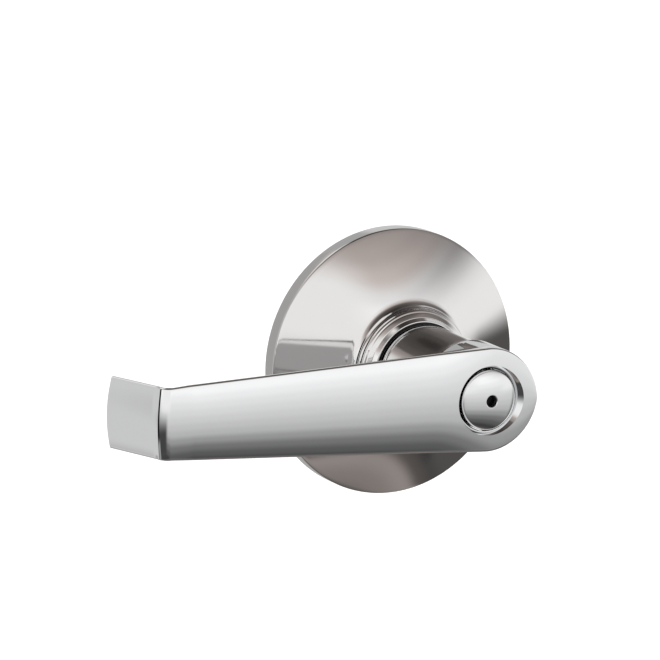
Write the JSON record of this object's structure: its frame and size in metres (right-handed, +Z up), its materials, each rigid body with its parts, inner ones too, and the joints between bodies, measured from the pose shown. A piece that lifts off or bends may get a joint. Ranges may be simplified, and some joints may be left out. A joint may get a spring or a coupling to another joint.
{
  "type": "door lever handle",
  "caption": "Chrome privacy door lever with a conical round rose, tapered crowned arm with a bent return, pinhole cap, sprung cage, posts and square drive spindle.",
  "frame": {"origin": "centre of the rose on the plane of the door's face, on the lever's axis", "axes": "+Y into the door along the lever's axis, -Y towards the user, -X along the lever's arm, +Z up"},
  "size_m": [0.1248, 0.1002, 0.067],
  "materials": {
    "lever_chrome": "bright polished chrome plate",
    "rose_chrome": "polished chrome plate over pressed brass, slightly warm",
    "zinc_steel": "zinc-plated pressed and turned steel",
    "spring_steel": "oiled spring steel",
    "black_nylon": "moulded black nylon",
    "brass": "turned brass"
  },
  "bodies": {
    "rose_body": {"rose": "rose_chrome", "rose_collar": "rose_chrome", "neck_bush": "black_nylon", "mounting_plate": "zinc_steel", "spring_cage": "zinc_steel", "post_left": "zinc_steel", "post_right": "zinc_steel", "cage_rivet_1": "zinc_steel", "cage_rivet_2": "zinc_steel", "cage_rivet_3": "zinc_steel", "cage_rivet_4": "zinc_steel", "rose_clip_1": "spring_steel", "rose_clip_2": "spring_steel", "rose_clip_3": "spring_steel", "return_spring": "spring_steel", "thrust_washer": "zinc_steel"},
    "lever_body": {"lever": "lever_chrome", "privacy_cap": "lever_chrome", "cap_snap_ring": "spring_steel", "spindle_hub": "zinc_steel", "spring_driver": "zinc_steel", "retaining_ring": "spring_steel", "spindle_seat": "zinc_steel", "drive_spindle": "zinc_steel", "spindle_pin_top": "zinc_steel", "spindle_pin_bottom": "zinc_steel", "rod_guide": "black_nylon", "release_spring": "spring_steel", "catch_spring": "spring_steel"},
    "release_body": {"release_rod": "black_nylon"},
    "catch_body": {"lever_catch": "brass"}
  },
  "joints": [
    {"name": "lever_turn", "type": "hinge", "parent": "rose_body", "child": "lever_body", "pos_m": [0, 0, 0], "axis": [0, 1, 0], "range_deg": [-50, 50], "stiffness_Nm_per_rad": 1.5, "springref_deg": 1.72, "deforming": ["return_spring"]},
    {"name": "release_push", "type": "slide", "parent": "lever_body", "child": "release_body", "axis": [0, 1, 0], "range_m": [0, 0.004], "stiffness_N_per_m": 800, "springref_m": -0.001, "deforming": ["release_spring"]},
    {"name": "catch_press", "type": "slide", "parent": "lever_body", "child": "catch_body", "axis": [0, 0, 1], "range_m": [0, 0.0021], "stiffness_N_per_m": 600, "springref_m": -0.0005, "deforming": ["catch_spring"]}
  ]
}
